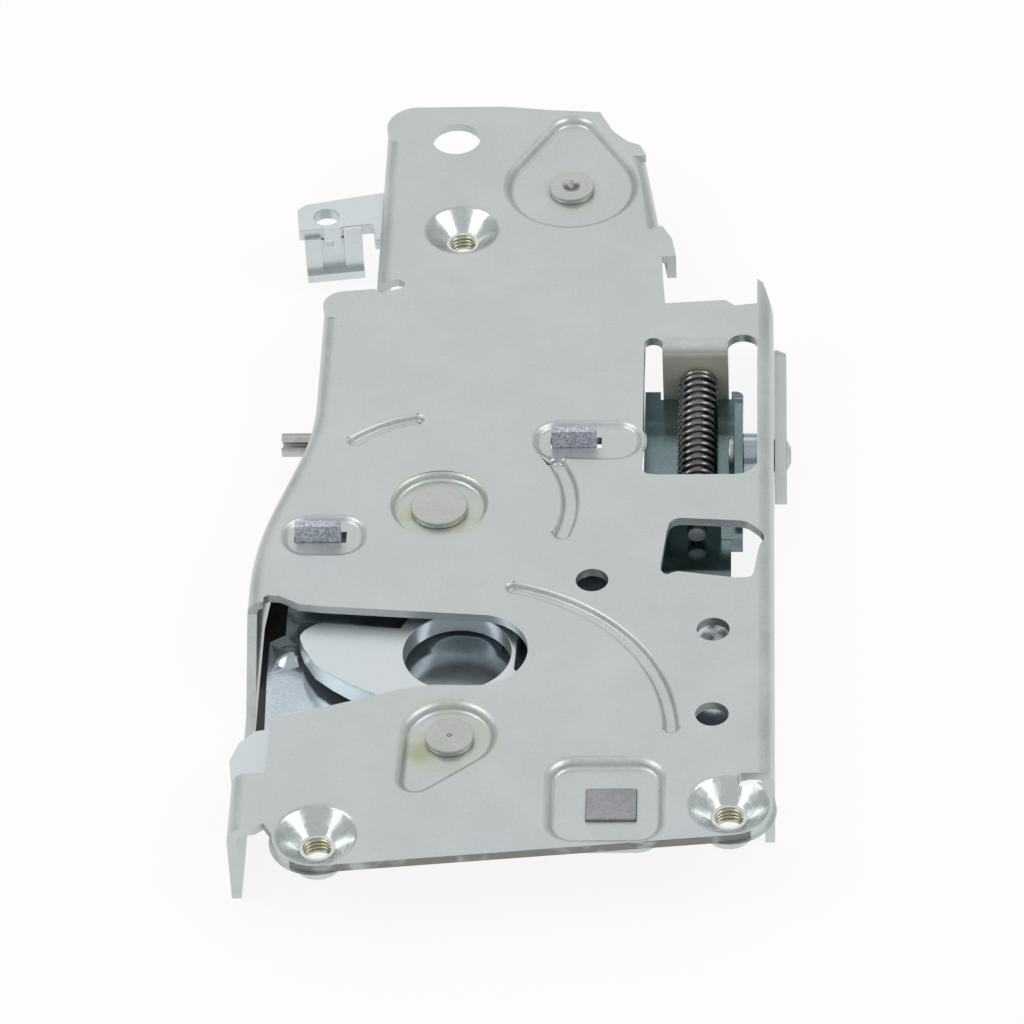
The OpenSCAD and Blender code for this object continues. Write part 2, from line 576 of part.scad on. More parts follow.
// Pawl
nose_a = -42.6;
module pawl() color([0.8, 0.83, 0.82]) translate([pawl_c[0], pawl_c[1], claw_bot]) difference() {
    union() {
        cylinder(h = claw_t, r = 8.5);
        raised(claw_t) {
            // strut down to the nose
            intersection() {
                circle(nose_reach, $fn = 240);
                polygon([pol(7, 215), pol(50, nose_a - 0.35), pol(50, nose_a + 8.5), pol(22, -22), pol(7, 10)]);
            }
            // right arm for the link
            polygon([pol(7, -60), [18.6, -3.4], [18.6, 6.6], pol(7, 100)]);
            // upper arm
            polygon([pol(7, 190), [-16, 14], [-9.5, 18.5], pol(7, 60)]);
        }
        translate(pawl_link_at - pawl_c) cylinder(h = claw_t, r = 5.5);
        translate([-12.8, 16.2, 0]) cylinder(h = claw_t, r = 3.9);
    }
    // underside that the claw's rim passes
    translate([claw_c[0] - pawl_c[0], claw_c[1] - pawl_c[1], -1])
        cylinder(h = claw_t + 2, r = claw_r + run_gap, $fn = 240);
    translate([0, 0, -1]) cylinder(h = claw_t + 2, d = pawl_pin_d + 2 * pivot_clear);
    for (p = concat(arm_holes, [pawl_link_at - pawl_c])) translate([p[0], p[1], -1])
        cylinder(h = claw_t + 2, d = p[0] > 0 ? link_pin_d : 3);
}
arm_holes = [[-12.8, 16.2], [-7.2, 12.6]];
module pawl_arm() color([0.78, 0.8, 0.8]) {
    translate([pawl_c[0], pawl_c[1], claw_bot - link_t]) difference() {
        union() {
            linear_extrude(link_t) polygon([[-4.6, 10.6], [-15.8, 13.4], [-18.5, 22.6], [-8.3, 22.6], [-5.4, 15]]);
            translate([-12.8, 16.2, 0]) cylinder(h = link_t, r = 3.6);
            translate([-7.2, 12.6, 0]) cylinder(h = link_t, r = 3.4);
        }
        for (p = arm_holes) translate([p[0], p[1], -1]) cylinder(h = link_t + 2, d = 3);
    }
    // eye that holds the roll pin, and the web up to it
    difference() {
        union() {
            translate([-26.6, roll_y, roll_z]) rotate([0, 90, 0]) cylinder(h = 10.2, d = roll_d + 2.8);
            translate([-26.6, roll_y - 5.2, claw_bot - link_t]) cube([10.2, 5.2, link_t]);
        }
        translate([-30, roll_y, roll_z]) rotate([0, 90, 0]) cylinder(h = 20, d = roll_d);
    }
}
module arm_rivets() color([0.66, 0.68, 0.69]) translate([pawl_c[0], pawl_c[1], 0]) for (p = arm_holes)
    translate([p[0], p[1], claw_bot - link_t - 0.3]) cylinder(h = claw_t + link_t + 0.3, d = 3);
module roll_pin() color([0.6, 0.62, 0.64]) translate([-38.7, roll_y, roll_z]) rotate([0, 90, 0]) difference() {
    cylinder(h = 22.3, d = roll_d);
    translate([0, 0, -1]) cylinder(h = 25, d = roll_d - 2 * roll_wall);
    rotate([0, 0, 228]) translate([0, -0.45, -1]) cube([roll_d, 0.9, 25]);
}
module pawl_link_pin() color([0.7, 0.71, 0.7]) translate([pawl_link_at[0], pawl_link_at[1], link_bot - 0.1])
    cylinder(h = claw_z - link_bot + 0.1, d = link_pin_d);

// Release lever
// point of the lever's edge beside the clip, a hair clear of it
function clip_edge(u) = clip_at - lever_c + [u * cos(clip_turn), u * sin(clip_turn) + 0.05];
module release_lever() color([0.84, 0.87, 0.88]) translate([lever_c[0], lever_c[1], lever_bot]) difference() {
    union() {
        cylinder(h = lever_t, r = 9.5);
        raised(lever_t) {
            polygon([[0, 8.5], [-14, 7.2], [-24, 5.6], [-37.6, 2.2], [-51.2, -1], [-52.7, -2.6],
                clip_edge(-1), clip_edge(13.3), [-37.4, -11.8], [-36, -11.8], [-35.4, -9.3], [-30.5, -8],
                [-27.2, -3.6], [-24, -2.2], [-17, -2.2], [-4, -7.2]]);
            polygon([[2, 8.3], [12.6, -0.6], [11.4, -8.6], [-2, -8.3]]);
        }
        translate(lever_link_at - lever_c) cylinder(h = lever_t, r = 5);
    }
    translate([0, 0, -1]) cylinder(h = lever_t + 2, d = lever_pin_d + 2 * pivot_clear);
    translate([-47, -4.8, -1]) cylinder(h = lever_t + 2, d = rod_hole_d);
    translate([lever_link_at[0] - lever_c[0], lever_link_at[1] - lever_c[1], -1])
        cylinder(h = lever_t + 2, d = link_pin_d);
}
module release_pivot() color([0.7, 0.71, 0.7]) translate([lever_c[0], lever_c[1], 0]) {
    translate([0, 0, lever_bot - 1.6]) cylinder(h = floor_z - lever_bot + 1.6, d = lever_pin_d);
    translate([0, 0, lever_bot - 3.2]) cylinder(h = head_front - lever_bot + 3.2, d = neck_pin_d);
    translate([0, 0, -recess_d]) cylinder(h = head_front + recess_d, d = lever_head_d);
    translate([0, 0, lever_bot - 3.9]) cylinder(h = 1.3, d = lever_head_d);
}
module release_washer() color([0.75, 0.77, 0.77]) translate([lever_c[0], lever_c[1], lever_bot - 2.6]) difference() {
    cylinder(h = 1, d = lever_pin_d + 4);
    translate([0, 0, -1]) cylinder(h = 3, d = neck_pin_d);
}
module release_spring() color([0.15, 0.15, 0.16]) translate([lever_c[0], lever_c[1], lever_bot - spring_drop])
    ring_spring(6.1, 150, 390, 4, 4);
module lever_link_pin() color([0.7, 0.71, 0.7]) translate([lever_link_at[0], lever_link_at[1], 0]) {
    translate([0, 0, link_bot - 0.1]) cylinder(h = claw_z - link_bot + 0.1, d = link_pin_d);
    translate([0, 0, link_z + 0.1]) cylinder(h = lever_bot - link_z - 0.1, d = link_pin_d + 2.4);
    translate([0, 0, link_bot - 1.1]) cylinder(h = 1, d = link_pin_d + 2.8);
}

// folded clip for the control rod, hung on the lever's left end
module rod_clip() color([0.8, 0.84, 0.86]) translate([clip_at[0], clip_at[1], 0]) rotate([0, 0, clip_turn])
    difference() {
        t = 0.9;
        low = -15;
        union() {
            // two front panels with the channel between them, and the tongue before the lever
            translate([0, -t, low]) cube([3.1, t, -5.3 - low]);
            translate([7.5, -t, low]) cube([3.5, t, -3.7 - low]);
            translate([2.7, -0.3, low]) cube([5.2, t, lever_bot - low]);
            translate([3.7, -t, lever_bot - 1.6]) cube([3.3, t, 4.6]);
            // hem along the lower edge
            translate([0, -t - 1.2, low]) cube([11, t + 1.2, 1.8]);
            // back wall under the lever
            translate([0, 0.3, -13]) cube([11, 0.8, 13 + lever_bot]);
        }
        translate([4.1, -2, lever_bot - 1.6]) cube([1.3, 4, 1.7]);
    }

// Release link
module release_link() color([0.78, 0.8, 0.8]) translate([0, 0, link_bot]) difference() {
    union() {
        linear_extrude(link_t) polygon([[20.9, lever_link_at[1] - 2], [28.5, lever_link_at[1] - 2], [27.9, 46], [24, 42], [12, 35.6],
            [8.8, 44.4], [20.9, 52]]);
        translate(lever_link_at) cylinder(h = link_t, r = 4.6);
        translate(pawl_link_at) cylinder(h = link_t, r = 5.1);
    }
    translate([lever_link_at[0], lever_link_at[1], -1]) slot(link_pin_d + 2.4, link_pin_d + 0.5, link_t + 2);
    translate([pawl_link_at[0], pawl_link_at[1], -1]) slot(link_pin_d + 1.4, link_pin_d + 0.5, link_t + 2);
}

// Lock lever group
module lock_lever() color([0.3, 0.36, 0.36]) difference() {
    union() {
        // web with a pressed cross step, wall for the guide pin, floor below it
        translate([28.2, 0, 0]) rotate([90, 0, 90]) linear_extrude(18.3) polygon([
            [horn_y, -12.7], [75.5, -12.7], [74.7, -13.1], [71.7, -13.1], [70.5, -12.7], [48, -13.1],
            [wall_pin_y + lock_t, -13.1], [wall_pin_y + lock_t, -5.4], [wall_pin_y, -5.4],
            [wall_pin_y, -11], [33.2, -11], [31.9, -11.7], [31.9, -12.8], [33.4, -12.6],
            [wall_pin_y, -12.6], [wall_pin_y + 0.6, -14.6], [48, -14.6], [70.5, -14.3], [horn_y, -14.3]]);
        // wall that carries the shaft
        translate([45, 0, 0]) rotate([90, 0, 90]) linear_extrude(lock_t) polygon([[50, -14], [76, -14],
            [76, -8.9], [75.4, -7.6], [74.2, -6.9], [72.8, -6.8], [50, -6.8]]);
    }
    // the web's end keeps clear of the tab, with a horn on each side of it
    translate([tab_x[0] - 0.5, web_end_y, -20]) cube([tab_x[1] - tab_x[0] + 1, 10, 20]);
    // rounded corner
    translate([45, horn_y - 1.5, -20]) difference() {
        cube([10, 10, 20]);
        cylinder(h = 20, r = 1.5);
    }
    translate([44.4, 20, -20]) cube([5, wall_pin_y - 20 - eps, 20]);
    translate([42.6, wall_pin_y - 1, -10.9]) cube([6, 4, 10]);
    // guide pin hole and shaft hole
    translate([spring_x, wall_pin_y - 1, spring_z]) rotate([-90, 0, 0]) cylinder(h = 4, d = guide_d + 1.1);
    translate([44, lock_y, lock_z]) rotate([0, 90, 0]) cylinder(h = 4, d = shaft_d - 1.2);
}
module lock_bush() color([0.8, 0.83, 0.84]) translate([46.5, lock_y, lock_z]) rotate([0, 90, 0]) difference() {
    cylinder(h = right_x - sheet_t - 46.5 - 0.1, d = shaft_d + 2.4);
    translate([0, 0, -1]) cylinder(h = 8, d = shaft_d);
}
module lock_shaft() color([0.72, 0.74, 0.74]) translate([0, lock_y, lock_z]) rotate([0, 90, 0]) {
    translate([0, 0, 43.9]) cylinder(h = 1.1, d = shaft_d + 1);
    translate([0, 0, 44.5]) cylinder(h = 2, d = shaft_d - 1.2);
    translate([0, 0, 46.5]) cylinder(h = right_x + 0.15 - 46.5, d = shaft_d);
    translate([0, 0, right_x + 0.1]) cylinder(h = 2.3, d = shaft_d - 1.2);
    translate([0, 0, right_x + 2.35]) cylinder(h = 0.8, d1 = shaft_d - 0.2, d2 = shaft_d / 2);
}
module side_lever() color([0.74, 0.76, 0.75]) difference() {
    translate([right_x + 0.15, 0, 0]) rotate([90, 0, 90]) linear_extrude(2.2)
        polygon([[54, -7.7], [87.4, -7.7], [91, -9.4], [92, -11.4], [90, -13.2], [70, -15], [54, -15]]);
    // slanted end
    translate([right_x, 92, -17]) linear_extrude(12) polygon([[0, 0.2], [2.5, -3.6], [4, -3.6], [4, 2], [0, 2]]);
    translate([right_x - 1, lock_y, lock_z]) rotate([0, 90, 0]) cylinder(h = 5, d = shaft_d - 1.2);
}
module spring_guide() color([0.6, 0.62, 0.6]) translate([spring_x, 0, spring_z]) rotate([90, 0, 0]) {
    head_y = tab_face_y + sheet_t + seat_gap;
    tip_y = wall_pin_y - 1.5;
    translate([0, 0, -head_y - 0.5]) cylinder(h = head_y + 0.5 - tip_y, d = guide_d);
    translate([0, 0, -tip_y - 1]) cylinder(h = 1, d = guide_d + 0.7);
    translate([0, 0, -head_y - 1.2]) cylinder(h = 1.2, d = guide_d + 2);
}
// the coils start a seat gap below the tab and end a little more above the lever's wall
module toggle_spring() color([0.1, 0.1, 0.11])
    coil(tab_face_y - seat_gap - wall_pin_y - lock_t - 2 * seat_gap, coil_d, wire_d, coils);
// coil along y: wire points follow the helix, closed at both ends
module coil(len, d, w, n) {
    r = (d - w) / 2;
    steps = 10;
    m = (n + 2) * steps;
    sides = 6;
    function zt(t) = t < 1 ? w / 2 + t * w * 0.9 : t > n + 1 ? len - w / 2 - (n + 2 - t) * w * 0.9
        : w / 2 + 0.9 * w + (t - 1) * (len - 2.8 * w) / n;
    pts = [for (i = [0 : m], j = [0 : sides - 1]) let (t = i / steps, a = 360 * t, b = 360 * j / sides,
        rr = r + w / 2 * cos(b)) [spring_x + rr * cos(a),
            tab_face_y - seat_gap - zt(t) - w / 2 * sin(b), spring_z + rr * sin(a)]];
    faces = concat([[for (j = [0 : sides - 1]) j]],
        [for (i = [0 : m - 1], j = [0 : sides - 1]) let (k = (j + 1) % sides)
            [i * sides + j, (i + 1) * sides + j, (i + 1) * sides + k, i * sides + k]],
        [[for (j = [sides - 1 : -1 : 0]) m * sides + j]]);
    polyhedron(pts, faces, convexity = 10);
}

front_plate();
back_plate();
stake_block();
claw();
claw_sleeve();
claw_pivot();
claw_spring();
pawl();
pawl_arm();
arm_rivets();
roll_pin();
pawl_pivot();
pawl_spring();
pawl_link_pin();
release_lever();
release_pivot();
release_washer();
release_spring();
lever_link_pin();
rod_clip();
release_link();
lock_lever();
lock_bush();
lock_shaft();
side_lever();
spring_guide();
toggle_spring();
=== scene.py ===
import json
import math

import bmesh
import bpy
from mathutils import Matrix, Vector


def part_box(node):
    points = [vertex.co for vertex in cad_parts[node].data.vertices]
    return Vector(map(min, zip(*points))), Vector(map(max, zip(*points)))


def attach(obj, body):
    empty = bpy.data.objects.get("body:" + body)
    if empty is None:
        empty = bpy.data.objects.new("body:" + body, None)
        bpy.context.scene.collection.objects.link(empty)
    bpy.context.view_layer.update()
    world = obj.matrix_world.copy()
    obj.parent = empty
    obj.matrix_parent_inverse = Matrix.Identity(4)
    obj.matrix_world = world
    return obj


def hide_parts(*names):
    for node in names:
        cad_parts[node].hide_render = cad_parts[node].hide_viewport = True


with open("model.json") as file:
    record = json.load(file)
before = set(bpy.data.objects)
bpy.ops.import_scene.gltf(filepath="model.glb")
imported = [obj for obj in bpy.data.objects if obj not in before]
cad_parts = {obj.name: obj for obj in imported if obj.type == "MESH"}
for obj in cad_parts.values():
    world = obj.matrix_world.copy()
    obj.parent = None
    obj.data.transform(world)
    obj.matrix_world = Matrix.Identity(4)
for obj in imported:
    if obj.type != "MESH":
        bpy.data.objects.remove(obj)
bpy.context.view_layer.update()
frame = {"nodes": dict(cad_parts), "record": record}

NODES = frame["nodes"]
SLOT_OF = {row["node"]: row["material_slot"] for row in frame["record"]["subparts"]}
BODY_OF = {n: body for body, names in frame["record"]["behaviour"]["bodies"].items() for n in names}
MM = 0.001

# Camera: the plate's point in the middle of the picture, and the direction to the camera
AIM = Vector((5.12, 35.96, 0)) * MM
TO_CAMERA = Vector((0.0475, -0.7402, 0.6708))
CAMERA_DISTANCE = 1.080
LENS, SENSOR = 210.94, 36.0
CLIP_NEAR, CLIP_FAR = 0.05, 20
CAMERA_ROLL = math.radians(-2.86)

# Floor and light, in metres and watts
FEET_Z, FLOOR_GAP, FLOOR_SIZE = -17 * MM, 0.2 * MM, 6
FLOOR_COLOUR = (0.86, 0.86, 0.86, 1)
FLOOR_ROUGHNESS, FLOOR_SPECULAR = 0.9, 0.1
FLOOR_LIFT = 0.88                        # share of plain white where the floor is seen
WHITE = (1, 1, 1, 1)
WORLD_STRENGTH = 0.7
SKY_LOW, SKY_HIGH, SKY_TOP = 0.47, 0.69, 0.75    # grey at the horizon, grey above, and where it is reached
KEY_PLACE, KEY_SIZE, KEY_POWER = (-0.2, 1.0, 0.9), (0.9, 0.5), 0.7
SIDE_X, SIDE_Y, SIDE_Z = 0.8, -0.1, 0.95
SIDE_SIZE, SIDE_POWER = (0.75, 0.45), 3.4

# Places that several materials or pieces share, in millimetres
CLAW_C, PAWL_C, LEVER_C = (-4, -21), (-8.1, 38.4), (13.7, 129.3)
FIXINGS = ((-6.8, 116), (-25.8, -45.3), (44.4, -38.4))
PADS = ((-28.5, 30.2), (14.5, 55.5), (22.5, 55.5))
LUGS = ((-29.5, 29.6), (15.9, 54.7))
SPRING_TAB = (37.7, 82)


# Node helpers
FACES_LOW = -0.8                         # a normal with less Y than this looks along -Y


class Graph:
    """Adds and links the shader nodes of one material. Points and lengths are in millimetres."""

    def __init__(self, name):
        self.material = bpy.data.materials.new(name)
        self.material.use_nodes = True
        self.tree = self.material.node_tree
        self.bsdf = self.tree.nodes["Principled BSDF"]
        self.place = self.add("ShaderNodeTexCoord").outputs["Object"]

    def add(self, kind, **values):
        node = self.tree.nodes.new(kind)
        for key, value in values.items():
            setattr(node, key, value)
        return node

    def link(self, source, target):
        self.tree.links.new(source, target)

    def put(self, socket, value):
        """Links another socket to this one, or sets a plain value on it."""
        if isinstance(value, bpy.types.NodeSocket):
            self.link(value, socket)
        else:
            socket.default_value = value

    def math(self, operation, a, b):
        node = self.add("ShaderNodeMath", operation=operation)
        self.put(node.inputs[0], a)
        self.put(node.inputs[1], b)
        return node.outputs[0]

    def noise(self, size_mm, detail, roughness=0.55, stretch=(1, 1, 1), seed=0.0):
        """Clouds round 0.5 with forms of about size_mm. The seed moves them."""
        mapping = self.add("ShaderNodeMapping")
        mapping.inputs["Location"].default_value = (seed, seed * 0.7, seed * 0.3)
        mapping.inputs["Scale"].default_value = stretch
        self.link(self.place, mapping.inputs["Vector"])
        node = self.add("ShaderNodeTexNoise")
        node.inputs["Scale"].default_value = 1 / MM / size_mm
        node.inputs["Detail"].default_value = detail
        node.inputs["Roughness"].default_value = roughness
        self.link(mapping.outputs["Vector"], node.inputs["Vector"])
        return node.outputs["Fac"]

    def ramp(self, value, low, high, to_low=0.0, to_high=1.0):
        """A smooth step from to_low to to_high while the value goes from low to high."""
        node = self.add("ShaderNodeMapRange", interpolation_type="SMOOTHSTEP")
        self.put(node.inputs["Value"], value)
        node.inputs["From Min"].default_value = low
        node.inputs["From Max"].default_value = high
        node.inputs["To Min"].default_value = to_low
        node.inputs["To Max"].default_value = to_high
        return node.outputs["Result"]

    def mix(self, kind, amount, a, b):
        """a where amount is 0, and b where it is 1. The kind is RGBA for colours, FLOAT for numbers."""
        node = self.add("ShaderNodeMix", data_type=kind)
        self.put(node.inputs["Factor"], amount)
        self.put(node.inputs["A"], a)
        self.put(node.inputs["B"], b)
        return node.outputs["Result"]

    def bump(self, height, strength, distance_mm, normal=None):
        node = self.add("ShaderNodeBump")
        node.inputs["Strength"].default_value = strength
        node.inputs["Distance"].default_value = distance_mm * MM
        self.link(height, node.inputs["Height"])
        if normal is not None:
            self.link(normal, node.inputs["Normal"])
        return node.outputs["Normal"]

    def split(self, vector):
        node = self.add("ShaderNodeSeparateXYZ")
        self.link(vector, node.inputs["Vector"])
        return node.outputs

    def near(self, point, inner, outer):
        """1 within inner of a point, falling to 0 at outer, measured across X and Y."""
        flat = self.add("ShaderNodeVectorMath", operation="MULTIPLY")
        self.link(self.place, flat.inputs[0])
        flat.inputs[1].default_value = (1, 1, 0)
        away = self.add("ShaderNodeVectorMath", operation="DISTANCE")
        self.link(flat.outputs["Vector"], away.inputs[0])
        away.inputs[1].default_value = (point[0] * MM, point[1] * MM, 0)
        return self.ramp(away.outputs["Value"], inner * MM, outer * MM, 1.0, 0.0)

    def below(self, z):
        """1 for what lies lower than z."""
        return self.math("LESS_THAN", self.split(self.place)["Z"], z * MM)

    def above(self, z):
        """1 for what doesn't lie lower than z."""
        return self.math("SUBTRACT", 1.0, self.below(z))

    def lower_edge(self, y):
        """1 on faces that look along -Y and lie before y."""
        facing = self.split(self.add("ShaderNodeNewGeometry").outputs["True Normal"])["Y"]
        before = self.math("LESS_THAN", self.split(self.place)["Y"], y * MM)
        return self.math("MULTIPLY", self.math("LESS_THAN", facing, FACES_LOW), before)


def colour(r, g, b):
    """Linear colour of an sRGB one given from 0 to 255."""
    def linear(c):
        c /= 255
        return c / 12.92 if c <= 0.04045 else ((c + 0.055) / 1.055) ** 2.4
    return (linear(r), linear(g), linear(b), 1.0)


# Materials, with their lengths in millimetres
CLOUD, GRAIN, STREAK = 16, 0.6, 0.5      # sizes of the forms all over the plating
BLOTCH, EDGE_MOTTLE, SPOT, SMEAR = 3, 5, 0.5, 2.2        # sizes of the forms inside the marks
GRAIN_DEPTH = 0.012
SOFT = 0.4                               # width of a mark's soft border
CONE_R, CONE_Z, CONE_ROUGH = 6.9, -0.1, (0.13, 0.3)      # the countersinks, below CONE_Z
LUG_R, LUG_Z, LUG_ROUGH = 6, -1.2, 0.48  # the back plate's lugs, above LUG_Z
CHROMATE, OLIVE = colour(186, 190, 138), colour(160, 166, 116)


class Metal(Graph):
    """Plated metal with cloudy colour, fine grain and faint streaks. Its marks are added one by one."""

    def __init__(self, name, dark, light, rough, metallic=0.9, grain=0.35, streak=(1, 0.08, 1)):
        super().__init__(name)
        cloud = self.noise(CLOUD, 4, 0.6)
        fine = self.noise(GRAIN, 1, 0.5, seed=3.0)
        lines = self.noise(STREAK, 2, 0.5, stretch=streak, seed=7.0)
        shade = self.math("ADD", self.math("MULTIPLY", cloud, 0.7), self.math("MULTIPLY", fine, 0.3))
        self.base = self.mix("RGBA", self.ramp(shade, 0.3, 0.7), dark, light)
        self.metallic = metallic
        haze = self.math("ADD", cloud, self.math("MULTIPLY", fine, 0.5))
        self.rough = self.ramp(haze, 0.45, 1.05, rough[0], rough[1])
        height = self.math("ADD", self.math("MULTIPLY", fine, 0.7), self.math("MULTIPLY", lines, 0.5))
        self.normal = self.bump(height, grain, GRAIN_DEPTH)

    def stain_and_shade(self, point, inner, outer, shade, amount):
        """A cloudy patch of colour round a point, full within inner and gone at outer. It makes real stains,
        and also painted shade.
        """
        cloudy = self.ramp(self.noise(BLOTCH, 3, seed=11.0), 0.3, 0.6)
        mask = self.math("MULTIPLY", self.near(point, inner, outer), cloudy)
        self.base = self.mix("RGBA", self.math("MULTIPLY", mask, amount), self.base, shade)

    def shear_lugs(self, dark, bright):
        """Rough spotted metal on the lugs, which were sheared out of the sheet."""
        spots = self.ramp(self.noise(SPOT, 3, 0.7, seed=5.0), 0.3, 0.72)
        places = [self.near(point, LUG_R, LUG_R + SOFT) for point in LUGS]
        mask = self.math("MULTIPLY", self.math("MAXIMUM", *places), self.above(LUG_Z))
        self.base = self.mix("RGBA", mask, self.base, self.mix("RGBA", spots, dark, bright))
        self.rough = self.mix("FLOAT", mask, self.rough, LUG_ROUGH)

    def patch(self, point, reach, z, shade, metallic):
        """Another colour and another metallic value within reach of a point, below z."""
        mask = self.math("MULTIPLY", self.near(point, reach, reach + SOFT), self.below(z))
        self.base = self.mix("RGBA", mask, self.base, shade)
        self.metallic = self.mix("FLOAT", mask, self.metallic, metallic)

    def darken_cut_edge(self, y, z, shade):
        """Unevenly darker metal on the cut edge that looks along -Y, before y and above z."""
        uneven = self.ramp(self.noise(EDGE_MOTTLE, 2, seed=13.0), 0.3, 0.5, 0.4, 0.95)
        mask = self.math("MULTIPLY", self.lower_edge(y), self.above(z))
        self.base = self.mix("RGBA", self.math("MULTIPLY", mask, uneven), self.base, shade)

    def polish_cones(self):
        """Smeared gloss in the three countersinks."""
        gloss = self.ramp(self.noise(SMEAR, 3, 0.6, seed=9.0), 0.35, 0.65, CONE_ROUGH[0], CONE_ROUGH[1])
        for point in FIXINGS:
            inside = self.math("MULTIPLY", self.near(point, CONE_R, CONE_R + SOFT), self.below(CONE_Z))
            self.rough = self.mix("FLOAT", inside, self.rough, gloss)

    def dimple(self, point, inner, outer, depth):
        """A small hollow round a point."""
        self.normal = self.bump(self.near(point, inner, outer), 1.0, -depth, self.normal)

    def done(self):
        """Links what was gathered to the shader, and gives the material."""
        self.link(self.base, self.bsdf.inputs["Base Color"])
        self.put(self.bsdf.inputs["Metallic"], self.metallic)
        self.link(self.rough, self.bsdf.inputs["Roughness"])
        self.link(self.normal, self.bsdf.inputs["Normal"])
        return self.material


def case_zinc():
    """Matt zinc with chromate stains round the rivets, a plain spring tab and an unevenly darker lower edge.
    """
    zinc = Metal("case_zinc", colour(190, 197, 196), colour(208, 214, 214), (0.34, 0.50))
    zinc.stain_and_shade(CLAW_C, 5, 12, CHROMATE, 0.3)
    zinc.stain_and_shade((-9.2, -24), 0.5, 4, OLIVE, 0.6)
    zinc.stain_and_shade(PAWL_C, 5, 12, CHROMATE, 0.3)
    zinc.stain_and_shade((-13.5, 35), 1, 4, CHROMATE, 0.5)
    zinc.stain_and_shade((-3, 33.5), 1, 4, CHROMATE, 0.5)
    zinc.stain_and_shade(LEVER_C, 3, 9, CHROMATE, 0.25)
    zinc.patch(SPRING_TAB, 7.4, -1.9, colour(200, 203, 188), 0.25)
    # The cut lower edge is made darker in uneven patches.
    zinc.darken_cut_edge(-45, -1.75, colour(122, 124, 116))
    zinc.polish_cones()
    return zinc.done()


def plate_zinc():
    """Glossy bluish zinc of the back plate and inner levers. The plate's lugs are marked, and one place
    towards the right edge has painted shade.
    """
    zinc = Metal("plate_zinc", colour(164, 176, 184), colour(198, 208, 214), (0.10, 0.22), grain=0.15)
    # Painted shade: a dark patch on the back plate towards the right edge stands for the shadow inside the
    # case.
    zinc.stain_and_shade((41.5, 16), 5, 9, colour(66, 64, 54), 0.95)
    zinc.shear_lugs(colour(150, 155, 170), colour(230, 233, 240))
    return zinc.done()


def rivet_steel():
    """Steel of the rivets and pins, without streaks. Two heads have a dimple, and one of them is stained
    brown.
    """
    steel = Metal("rivet_steel", colour(176, 180, 177), colour(204, 206, 203), (0.30, 0.46),
                  grain=0.8, streak=(1, 1, 1))
    steel.stain_and_shade(LEVER_C, 0.6, 2.0, colour(98, 80, 72), 0.95)
    steel.dimple(CLAW_C, 0.15, 0.5, 0.5)
    steel.dimple(LEVER_C, 0.6, 1.9, 0.5)
    return steel.done()


CASE = case_zinc()
PLATE = plate_zinc()
LEVER = Metal("lever_zinc", colour(204, 211, 213), colour(218, 225, 228), (0.30, 0.42), grain=0.02).done()
RIVET = rivet_steel()
STAKE = Metal("stake_steel", colour(124, 126, 130), colour(170, 172, 176), (0.26, 0.42),
              grain=1.0, streak=(0.2, 1, 1)).done()
DARK = Metal("dark_steel", colour(92, 110, 112), colour(122, 140, 142), (0.14, 0.26), grain=0.12).done()
SPRING = Metal("spring_steel", colour(112, 112, 112), colour(146, 146, 144), (0.12, 0.22),
               metallic=1.0, grain=0.1).done()
SLEEVE = Metal("sleeve_plastic", colour(26, 27, 24), colour(38, 39, 36), (0.45, 0.6),
               metallic=0.0, grain=0.2).done()
THREAD = Metal("thread_zinc", colour(180, 180, 150), colour(214, 212, 190), (0.12, 0.22), grain=0.2).done()
MATERIALS = {"case_zinc": CASE, "plate_zinc": PLATE, "lever_zinc": LEVER, "rivet_steel": RIVET,
             "dark_steel": DARK, "spring_steel": SPRING, "sleeve_plastic": SLEEVE}

# Skins: copies of most solids with softened edges, which replace them
SHARP = math.radians(32)                 # edges that bend more than this are rounded
CREASE = math.radians(30)                # edges that still bend more than this are shaded sharp
FLAT_BEND = math.radians(0.5)            # faces that bend less than this become one
MERGE = 1e-6                             # corners nearer than this become one, in metres
FOLD = 3.1                               # the bend of a triangle that lies back on its neighbour, in radians
IN_PLANE = 0.99999                       # how well the normals of one plane agree
EDGE_STEPS, RIM_STEPS = 2, 4             # segments across a softened edge and across a rolled rim
RIM_UNIT = 1.0                           # rim width that a bevel weight of 1 stands for, in millimetres

# Every solid that gets a skin, with the width of its softened edges in millimetres
SKINS = {
    "front_plate": 0.18, "back_plate": 0.2, "stake_block": 0.25, "claw": 0.3, "pawl": 0.25, "pawl_arm": 0.2,
    "release_lever": 0.25, "rod_clip": 0.15, "release_link": 0.2, "lock_lever": 0.25, "side_lever": 0.25,
    "claw_pivot": 0.25, "pawl_pivot": 0.3, "release_pivot": 0.25, "roll_pin": 0.12, "lock_shaft": 0.2,
    "lock_bush": 0.2, "spring_guide": 0.15, "release_washer": 0.15, "lever_link_pin": 0.15,
    "pawl_link_pin": 0.15,
}

# The case's pressed places: points with a reach, the width of the rolled rim and of the floor's fillet
PRESSED = ((FIXINGS, 8, 0.45, 0.1), (PADS, 11, 0.5, 0.3), ((LEVER_C, (13.7, 143)), 16, 0.85, 0.45),
           ((PAWL_C, CLAW_C, (-10, -27)), 11.5, 0.85, 0.45), (((23.3, -37.1),), 15, 0.9, 0.5))

# Its arc grooves by centre and radius, with the same three values
GROOVES = ((CLAW_C, 38.4), (PAWL_C, 23.7))
GROOVE_REACH, GROOVE_RIM, GROOVE_FILLET = 2, 0.4, 0.2

# How its faces are told apart: by the normal's Z, and by height in millimetres
LEVEL, SLOPE_LOW, SLOPE_HIGH = 0.995, 0.25, 0.97
FRONT_Z, DEEP_Z = -0.05, -3.3


def face_kind(face):
    """What a case face is: the flat front, a pressed slope, or the floor of a recess."""
    height = face.calc_center_median().z / MM
    if face.normal.z > LEVEL:
        return "front" if height > FRONT_Z else "floor"
    if SLOPE_LOW < face.normal.z < SLOPE_HIGH and height > DEEP_Z:
        return "slope"
    return "other"


